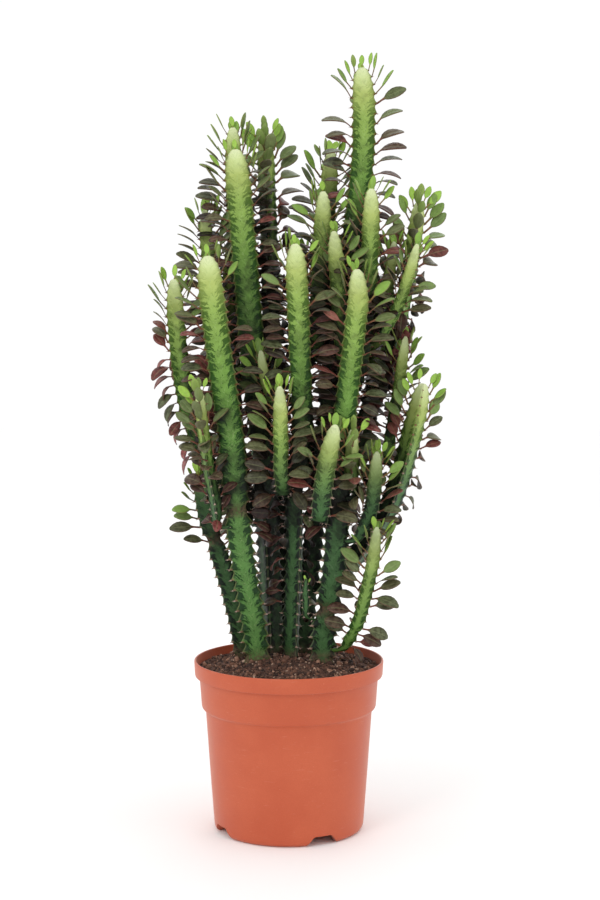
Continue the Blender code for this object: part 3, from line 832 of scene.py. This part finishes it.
def midline(leaf):
    """Points along the middle of a leaf, to test whether it has room."""
    points = [v.co for v in leaf.data.vertices]
    chosen = []
    for reach in (0.3 * LEAF_LENGTH, 0.55 * LEAF_LENGTH, 0.8 * LEAF_LENGTH, LEAF_LENGTH):
        near = sorted(points, key=lambda p: abs((p - points[0]).length - reach))[:4]
        chosen.append(sum(near, Vector()) / len(near))
    return chosen


def grow_leaves(spine, forms, midlines, obstacles, material):
    """The leaf rows of one stem, as one mesh."""
    rng = random.Random(sum(map(ord, spine.name)))
    grown = {name: [] for name in forms}
    values = {name: [] for name in forms}
    count = 0
    leafy = LOW_STEMS.get(spine.name, min(LEAFY_LENGTH, spine.length * 0.92))
    inner = spine.name in INNER_STEMS
    for place, outward, along, from_tip in teeth_of(spine):
        lowest = LOWEST_INNER_LEAF if inner and outward.y > -0.35 else LOWEST_LEAF
        if (from_tip > leafy and not inner) or (place.z < lowest and spine.name not in LOW_STEMS):
            continue
        thinning = 0.0 if inner or place.y > REAR_FROM else LEAF_THINNING
        missing = LEAF_MISSING + thinning * min(1.0, from_tip / leafy) ** 3
        if rng.random() < (missing if from_tip > 0.03 else CROWN_MISSING):
            continue
        if spine.name in BARE_FRONT and outward.y < -0.75:
            continue
        form, lift, length = leaf_shape(from_tip, rng)
        if spine.name in RED_LEAVED and from_tip > DROOP_FROM:
            form, lift = rng.choice(("hanging", "hanging", "curled")), lift - 18
        length *= LEAF_SIZES.get(spine.name, REAR_LEAF_SIZE if place.y > REAR_FROM else 1.0)
        facing = (outward.cross(along)).dot(Vector((0, -1, 0)))
        yaw, roll = rng.gauss(0, 14), rng.gauss(TOWARDS_LIGHT * facing, 15)
        foot = place - outward * 0.8 * MM
        for _ in range(LEAF_TRIES):
            matrix = leaf_matrix(foot, outward, along, lift, yaw, roll, length)
            if not blocked(matrix, outward, obstacles, midlines[form]):
                grown[form].append(matrix)
                share = RED_LEAVED.get(spine.name, RED_ELSEWHERE)
                red = rng.random() < share and from_tip > RED_FROM
                values[form].append((from_tip, rng.random(), 1.0 if red else 0.0, count))
                count += 1
                break
            lift = lift - 26 if form in ("hanging", "curled") else lift + 22
            yaw += rng.choice((-30, 30))
            length *= 0.86
    made = []
    for form, matrices in grown.items():
        if not matrices:
            continue
        ages, tints, reds, marks = zip(*values[form])
        made.append(repeat_mesh("leaves", forms[form], matrices, {
            "leaf_age": ages, "leaf_tint": tints, "leaf_red": reds, "leaf_number": marks}))
    if not made:
        return None
    leaves = join(*made)
    leaves.name = "leaves_" + spine.name
    leaves.data.name = leaves.name
    tuft = "leaf_tuft_" + spine.name
    finish_piece(leaves, material, "leaf", *([tuft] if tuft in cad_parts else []))
    return leaves


def blocked(matrix, outward, obstacles, way_points):
    """Whether the leaf's midline would run into a stem or out of the plant's box."""
    low, high = cad_box
    start = matrix.translation + outward * 2.5 * MM
    for end in [matrix @ point for point in way_points]:
        if any(not low[i] - OVERHANG < end[i] < high[i] + OVERHANG for i in range(3)):
            return True
        way = end - start
        if way.length > 1e-6 and obstacles.ray_cast(start, way.normalized(), way.length)[0]:
            return True
        start = end
    return False


def leaf_skin(bush_shade, mottle):
    """Lime near the tip, then grey green, then bronze and purple, with a paler underside."""
    skin = Skin("leaf", 0.42)
    age, tint, red = (skin.attribute(name) for name in ("leaf_age", "leaf_tint", "leaf_red"))
    along, across, upper = (skin.attribute(name) for name in
                            ("leaf_along", "leaf_across", "leaf_upper"))
    shifted = skin.math("ADD", age, skin.math("MULTIPLY", skin.math("SUBTRACT", tint, 0.5), 0.03))
    colour = skin.ramp(skin.math("MULTIPLY", shifted, 4.0), [
        (0.0, srgb(170, 212, 88)), (0.08, srgb(148, 190, 82)), (0.15, srgb(128, 154, 88)),
        (0.24, srgb(110, 118, 80)), (0.38, srgb(88, 80, 64)), (0.60, srgb(66, 50, 44)),
        (1.0, srgb(50, 38, 33))])
    dusky = skin.ramp(tint, [(0.0, srgb(112, 58, 56)), (0.3, srgb(96, 64, 54)),
                             (0.55, srgb(104, 94, 66)), (0.8, srgb(110, 126, 82)),
                             (1.0, srgb(70, 62, 54))])
    colour = skin.mix(skin.math("MULTIPLY", skin.step(shifted, 0.03, 0.10), 0.62), colour, dusky)
    blush = skin.mix(tint, srgb(172, 92, 92), srgb(122, 50, 50))
    colour = skin.mix(skin.math("MULTIPLY", red, 0.8), colour, blush)
    blotch = skin.place(mottle, Size=4 * MM, Detail=4, Low=0.42, High=0.60, Strength=1.0)
    dull = skin.mix(1.0, colour, srgb(150, 138, 130), "MULTIPLY")
    colour = skin.mix(skin.math("MULTIPLY", blotch, skin.step(shifted, 0.02, 0.10, 0.15, 0.70)),
                      colour, dull)
    stalk = skin.step(along, -0.12, 0.10, 1.0, 0.0)
    colour = skin.mix(skin.math("MULTIPLY", stalk, 0.75), colour, srgb(136, 62, 52))
    rim = skin.step(across, 0.84, 1.0)
    colour = skin.mix(skin.math("MULTIPLY", rim, 0.5), colour, srgb(120, 70, 56))
    midrib = skin.step(across, 0.0, 0.14, 1.0, 0.0)
    colour = skin.mix(skin.math("MULTIPLY", midrib, 0.25), colour, srgb(170, 180, 128))
    under = skin.mix(0.45, colour, srgb(104, 88, 78))
    colour = skin.mix(upper, under, colour)
    # Painted shade: darker where little open sky reaches, deep inside the bush.
    shade = skin.place(bush_shade, Open_Sky=skin.attribute("open_sky"), From_Tip=age)
    colour = skin.mix(1.0, colour, shade, "MULTIPLY")
    skin.put(skin.shader.inputs["Base Color"], colour)
    rough = skin.step(skin.noise(6 * MM, 2), 0.3, 0.7, 0.36, 0.52)
    skin.put(skin.shader.inputs["Roughness"], rough)
    skin.shader.inputs["Specular IOR Level"].default_value = 0.25
    skin.bump(skin.math("SUBTRACT", skin.noise(2 * MM, 3), midrib), 0.25, 0.4 * MM)
    return skin.material


# ---------------------------------------------------------------- spines

def model_spine_pair():
    """Two short thorns on one pad, pointing outward (+Y) and apart."""
    thorns = []
    for side in (-1, 1):
        thorn = begin("thorn", bpy.ops.mesh.primitive_cone_add, vertices=5, radius1=0.42 * MM,
                      radius2=0.05 * MM, depth=3.2 * MM, location=(side * 0.9 * MM, 1.1 * MM, 0),
                      rotation=(math.radians(-90), 0, math.radians(-side * 32)))
        thorns.append(thorn)
    pad = begin("spine_pad", bpy.ops.mesh.primitive_ico_sphere_add, subdivisions=1,
                radius=1.0 * MM)
    edit(pad)
    bpy.ops.mesh.select_all(action="SELECT")
    scale(1.5, 0.75, 0.8)
    leave_edit()
    return join(pad, *thorns)


def grow_spines(spines, master, material):
    rng = random.Random(31)
    matrices, ages = [], []
    for spine in spines:
        for place, outward, along, from_tip in teeth_of(spine):
            if place.z < SOIL_LINE:
                continue
            size = rng.uniform(0.75, 1.15) * min(1.0, 0.5 + from_tip / 0.03)
            lift, roll = rng.gauss(12, 14), rng.gauss(0, 12)
            matrices.append(leaf_matrix(place - outward * 0.25 * MM, outward, along, lift, 0, roll,
                                        size))
            ages.append(1.0 if place.z < OLD_SPINES_TO else 0.0)
    thorns = repeat_mesh("spines", master, matrices, {"deep": ages})
    finish_piece(thorns, material, "stem_skin")
    return thorns


def spine_skin():
    skin = Skin("spine", 0.55)
    tone = skin.mix(skin.noise(9 * MM, 2), srgb(92, 52, 40), srgb(168, 110, 86))
    old = skin.mix(skin.noise(6 * MM, 2), srgb(150, 118, 104), srgb(216, 192, 176))
    skin.put(skin.shader.inputs["Base Color"], skin.mix(skin.attribute("deep"), tone, old))
    return skin.material


# ---------------------------------------------------------------- pot

POT_STEPS = 144
# Radius and height in mm, from the floor's underside out, up over the rim and down inside.
POT_PROFILE = [
    (62, 10), (73.6, 10), (74.4, 9), (74.6, 0.6), (75.2, 0), (77.2, 0), (79.6, 0.5), (81.6, 1.9),
    (82.9, 4.0), (83.4, 6.4), (86.6, 50), (89.6, 93), (92.3, 132.4), (92.6, 134.4), (93.6, 135.8),
    (95.6, 137.0), (96.4, 138.0), (96.9, 139.6), (97.9, 154), (99.2, 171.8), (99.6, 172.8),
    (100.4, 173.1), (103.2, 173.0), (103.9, 173.3), (104.2, 174.2), (104.6, 180), (105.0, 188.0),
    (104.9, 189.2), (104.3, 189.9), (103.5, 190), (102.9, 189.6), (102.6, 188.6), (102.0, 176.4),
    (101.0, 175.1), (98.4, 174.7), (97.6, 173.6), (94.8, 139.0), (91.0, 134.6), (81.6, 13.8),
    (79.6, 11.9), (62, 11.9),
]
DRAIN_HOLES = 6
DRAIN_CIRCLE = 50 * MM
DRAIN_RADIUS = 5 * MM
NOTCH_ANGLES = (-63, 27, 117, 207)
# Sideways and up in mm: one foot notch, seen from outside.
NOTCH_OUTLINE = [(-20.6, -1.2), (-18.2, 1.4), (-13.4, 7.6), (-11.8, 9.6), (-9.6, 10.8),
                 (9.6, 10.8), (11.8, 9.6), (13.4, 7.6), (18.2, 1.4), (20.6, -1.2)]


def pot_axis():
    low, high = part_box("pot")
    return Vector(((low.x + high.x) / 2, (low.y + high.y) / 2, 0))


def turn_profile(name, profile, steps):
    """Draw a circle out along a profile of radius and height in mm, and close both ends."""
    radius, height = profile[0]
    shape = begin(name, bpy.ops.mesh.primitive_circle_add, vertices=steps, radius=radius * MM,
                  location=(0, 0, height * MM))
    edit(shape)
    bpy.ops.mesh.select_all(action="SELECT")
    for (old, low), (new, high) in zip(profile, profile[1:]):
        rise = (0, 0, (high - low) * MM)
        bpy.ops.mesh.extrude_region_move(TRANSFORM_OT_translate={"value": rise})
        scale(new / old, new / old, 1, (0, 0, high * MM))
    for end, level in (profile[0], profile[-1]):
        pick(shape, lambda p: abs(p.z - level * MM) < 0.01 * MM
             and p.xy.length < (end + 0.1) * MM)
        bpy.ops.mesh.edge_face_add()
    face_outward()
    leave_edit()
    return shape


def build_pot(material):
    pot = turn_profile("pot_shell", POT_PROFILE, POT_STEPS)
    for number in range(DRAIN_HOLES):
        angle = number * math.tau / DRAIN_HOLES
        drill = begin("drill", bpy.ops.mesh.primitive_cylinder_add, vertices=24,
                      radius=DRAIN_RADIUS, depth=12 * MM,
                      location=(DRAIN_CIRCLE * math.cos(angle), DRAIN_CIRCLE * math.sin(angle),
                                11 * MM))
        apply(pot, "BOOLEAN", object=drill, operation="DIFFERENCE", solver="EXACT")
        remove(drill)
    for angle in NOTCH_ANGLES:
        wedge = begin("wedge", bpy.ops.mesh.primitive_circle_add, vertices=len(NOTCH_OUTLINE),
                      radius=1, fill_type="NGON")
        outline = [(62 * MM, y * MM, z * MM) for y, z in NOTCH_OUTLINE]
        set_places(wedge.data, np.array(outline))
        edit(wedge)
        bpy.ops.mesh.select_all(action="SELECT")
        bpy.ops.mesh.extrude_region_move(TRANSFORM_OT_translate={"value": (30 * MM, 0, 0)})
        face_outward()
        turn("Z", angle, (0, 0, 0))
        leave_edit()
        apply(pot, "BOOLEAN", object=wedge, operation="DIFFERENCE", solver="EXACT")
        remove(wedge)
    set_places(pot.data, places(pot.data) + np.array(pot_axis()))
    select_only(pot)
    bpy.ops.object.shade_smooth_by_angle(angle=math.radians(38))
    finish_piece(pot, material, "terracotta_plastic", "pot")
    return pot


def pot_plastic(mottle):
    """Moulded plastic: terracotta colour, a fine grain, faint scuffs and dusty streaks."""
    skin = Skin("terracotta_plastic", 0.5)
    cloud = skin.noise(60 * MM, 4)
    colour = skin.mix(skin.step(cloud, 0.3, 0.7), srgb(200, 92, 58), srgb(208, 101, 66))
    spots = skin.place(mottle, Size=2.5 * MM, Detail=3, Low=0.66, High=0.76, Strength=0.35)
    colour = skin.mix(spots, colour, srgb(226, 148, 118))
    stretch = skin.node("ShaderNodeMapping")
    skin.put(stretch.inputs["Vector"], skin.object_place())
    stretch.inputs["Scale"].default_value = (1, 1, 9)
    scuffs = skin.step(skin.noise(14 * MM, 5, stretch.outputs[0]), 0.62, 0.74, 0.0, 0.22)
    colour = skin.mix(scuffs, colour, srgb(228, 160, 134))
    skin.put(skin.shader.inputs["Roughness"], skin.step(cloud, 0.2, 0.8, 0.40, 0.52))
    skin.shader.inputs["Specular IOR Level"].default_value = 0.35
    skin.shader.inputs["Sheen Weight"].default_value = 0.35
    skin.shader.inputs["Sheen Roughness"].default_value = 0.35
    skin.shader.inputs["Sheen Tint"].default_value = srgb(255, 220, 205)
    grain = skin.noise(0.9 * MM, 2)
    skin.put(skin.shader.inputs["Base Color"], skin.mix(skin.step(grain, 0.35, 0.65, 0.0, 0.22),
                                                        colour, srgb(178, 76, 48)))
    skin.bump(grain, 0.25, 0.2 * MM)
    return skin.material


# ---------------------------------------------------------------- soil

# Radius and height in mm, from the foot of the soil up the pot's wall.
SOIL_PROFILE = [(82, 14), (83, 40), (86, 80), (89.5, 120), (90.4, 133.5), (94.2, 139.8),
                (96.6, 172), (99.6, 177)]
SOIL_RINGS = (100, *range(94, 5, -4), 3)    # radii in mm of the rings of the surface
SOIL_RADIUS = 100 * MM
SOIL_MIDDLE = 190 * MM           # level of the surface in the middle
SOIL_FALL = 9 * MM               # and how far it falls to the wall
STREW_RADIUS = 99.5 * MM
WALL_RADIUS = 100.4 * MM
CRUMBS = 2600
LUMPS = 380
FIBRES = 300


def build_soil(material):
    """A rough mound that fills the pot, with a low ring against the wall."""
    top = [(edge, soil_level(edge * MM) / MM) for edge in SOIL_RINGS]
    soil = turn_profile("soil_mound", SOIL_PROFILE + top, 120)
    clumps = bpy.data.textures.new("soil_clumps", "CLOUDS")
    clumps.noise_scale = 9 * MM
    clumps.noise_depth = 3
    surface = soil.vertex_groups.new(name="surface")
    for vert in soil.data.vertices:
        radius = vert.co.xy.length
        if vert.co.z > 178 * MM and radius < 99 * MM:
            surface.add([vert.index], min(1.0, (101 * MM - radius) / (6 * MM)), "REPLACE")
    apply(soil, "DISPLACE", texture=clumps, texture_coords="LOCAL", strength=5 * MM,
          mid_level=0.5, vertex_group="surface", direction="Z")
    set_places(soil.data, places(soil.data) + np.array(pot_axis()))
    smooth(soil.data)
    finish_piece(soil, material, "potting_soil", "soil")
    return soil


def soil_level(radius):
    share = min(1.0, radius / SOIL_RADIUS)
    return SOIL_MIDDLE - SOIL_FALL * (1 - math.cos(math.pi * share)) / 2


def model_crumb(name, seed):
    crumb = begin(name, bpy.ops.mesh.primitive_ico_sphere_add, subdivisions=1, radius=1)
    rng = random.Random(seed)
    stretch = np.array([rng.uniform(0.75, 1.3), rng.uniform(0.7, 1.1), rng.uniform(0.45, 0.8)])
    knocks = np.array([rng.uniform(0.7, 1.2) for _ in crumb.data.vertices])
    set_places(crumb.data, places(crumb.data) * knocks[:, None] * stretch)
    return crumb


def strew(name, master, count, sizes, stretch, seed, soil_tree, material, tilt):
    """Lay copies of a master over the soil, inside the pot's wall."""
    rng = random.Random(seed)
    axis = pot_axis()
    matrices, tints = [], []
    while len(matrices) < count:
        radius, angle = STREW_RADIUS * math.sqrt(rng.random()), rng.uniform(0, math.tau)
        x, y = axis.x + radius * math.cos(angle), axis.y + radius * math.sin(angle)
        hit = soil_tree.ray_cast(Vector((x, y, 0.25)), Vector((0, 0, -1)))[0]
        if hit is None:
            continue
        size = rng.uniform(*sizes) * rng.uniform(0.6, 1.0)
        if radius + size * stretch > WALL_RADIUS:
            continue
        tumbled = (Matrix.Rotation(rng.uniform(0, math.tau), 4, "Z")
                   @ Matrix.Rotation(rng.uniform(-tilt, tilt), 4, "X")
                   @ Matrix.Rotation(rng.uniform(-tilt, tilt), 4, "Y"))
        matrices.append(Matrix.Translation(hit + Vector((0, 0, size * 0.15))) @ tumbled
                        @ Matrix.Diagonal((size * stretch, size, size, 1)))
        tints.append(rng.random())
    made = repeat_mesh(name, master, matrices, {"tint": tints})
    finish_piece(made, material, "potting_soil")
    return made


def soil_skin():
    skin = Skin("potting_soil", 0.92)
    coarse = skin.noise(5 * MM, 6, roughness=0.7)
    colour = skin.ramp(coarse, [(0.28, srgb(34, 22, 18)), (0.45, srgb(74, 48, 38)),
                                (0.58, srgb(112, 76, 60)), (0.75, srgb(176, 130, 104))])
    skin.put(skin.shader.inputs["Base Color"], colour)
    skin.bump(skin.noise(1.5 * MM, 5), 0.8, 1.2 * MM)
    return skin.material


def crumb_skin(name, mottle, stops):
    skin = Skin(name, 0.9)
    colour = skin.ramp(skin.attribute("tint"), stops)
    dull = skin.place(mottle, Size=1.2 * MM, Detail=3, Low=0.3, High=0.7, Strength=0.5)
    skin.put(skin.shader.inputs["Base Color"], skin.mix(dull, colour, srgb(52, 36, 30)))
    skin.bump(skin.noise(0.8 * MM, 3), 0.6, 0.6 * MM)
    return skin.material


# ---------------------------------------------------------------- the whole plant

def tree_of(pieces):
    """One search tree over several pieces' faces."""
    points, faces = [], []
    for piece in pieces:
        start = len(points)
        points.extend(v.co.copy() for v in piece.data.vertices)
        faces.extend([v + start for v in face.vertices] for face in piece.data.polygons)
    return BVHTree.FromPolygons(points, faces)


def add_open_sky(pieces, leaves):
    """Store how much of the sky each place sees past the plant, leaf by leaf on the leaves; the
    skins darken by it as painted shade.
    """
    tree = tree_of(pieces + leaves)
    rng = random.Random(11)
    ways = [Vector((rng.gauss(0, 1), rng.gauss(0, 1), rng.gauss(0.35, 1))).normalized()
            for _ in range(SKY_RAYS)]
    for piece in pieces + leaves:
        mesh = piece.data
        whole = piece in leaves
        seen = np.ones(len(mesh.vertices))
        groups = leaf_groups(mesh) if whole else [[vert.index] for vert in mesh.vertices]
        for group in groups:
            middle = sum((mesh.vertices[i].co for i in group), Vector()) / len(group)
            start = middle if whole else middle + mesh.vertices[group[0]].normal * 2 * MM
            lift = 9 * MM if whole else 0.0
            free = sum(tree.ray_cast(start + way * lift, way)[0] is None for way in ways)
            seen[group] = free / SKY_RAYS
        add_value(mesh, "open_sky", seen)


def leaf_groups(mesh):
    """The vertices of each leaf in a row of leaves: they were laid one after another."""
    marks = np.empty(len(mesh.vertices))
    mesh.attributes["leaf_number"].data.foreach_get("value", marks)
    order = np.argsort(marks, kind="stable")
    cuts = np.flatnonzero(np.diff(marks[order])) + 1
    return np.split(order, cuts)


def main():
    make_stage()
    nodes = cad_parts
    stem_names = [name for name in sorted(nodes)
                  if not name.startswith("leaf_tuft_") and name not in ("pot", "soil")]
    spines = [Spine(name, nodes[name]) for name in stem_names]

    bush_shade, mottle = bush_shade_effect(), mottle_effect()
    skin = stem_skin(bush_shade, mottle)
    young = model_joint("young_joint", YOUNG_MARGIN)
    old = model_joint("old_joint", OLD_MARGIN)
    stems = [build_stem(spine, young, old, skin) for spine in spines]
    remove(young, old)

    obstacles = tree_of(stems)
    forms = {name: model_leaf(name, *form) for name, form in LEAF_FORMS.items()}
    midlines = {name: midline(form) for name, form in forms.items()}
    leaf = leaf_skin(bush_shade, mottle)
    leaves = [grow_leaves(spine, forms, midlines, obstacles, leaf) for spine in spines]
    add_open_sky(stems, [row for row in leaves if row])
    remove(*forms.values())

    pair = model_spine_pair()
    grow_spines(spines, pair, spine_skin())
    remove(pair)

    build_pot(pot_plastic(mottle))
    soil = build_soil(soil_skin())
    ground = tree_of([soil])
    crumb = model_crumb("crumb", 3)
    dark = crumb_skin("soil_crumb", mottle, [
        (0.0, srgb(32, 21, 17)), (0.40, srgb(90, 60, 47)), (0.76, srgb(142, 99, 78)),
        (0.92, srgb(196, 148, 122)), (1.0, srgb(226, 196, 172))])
    strew("soil_crumbs", crumb, CRUMBS, (0.8 * MM, 2.6 * MM), 1.0, 5, ground, dark, 1.5)
    strew("soil_lumps", crumb, LUMPS, (2.4 * MM, 5.2 * MM), 1.2, 8, ground, dark, 1.5)
    straw = crumb_skin("soil_fibre", mottle, [
        (0.0, srgb(96, 66, 48)), (0.6, srgb(150, 112, 80)), (1.0, srgb(202, 168, 130))])
    strew("soil_fibres", crumb, FIBRES, (0.3 * MM, 0.6 * MM), 15, 9, ground, straw, 0.35)
    remove(crumb)


main()
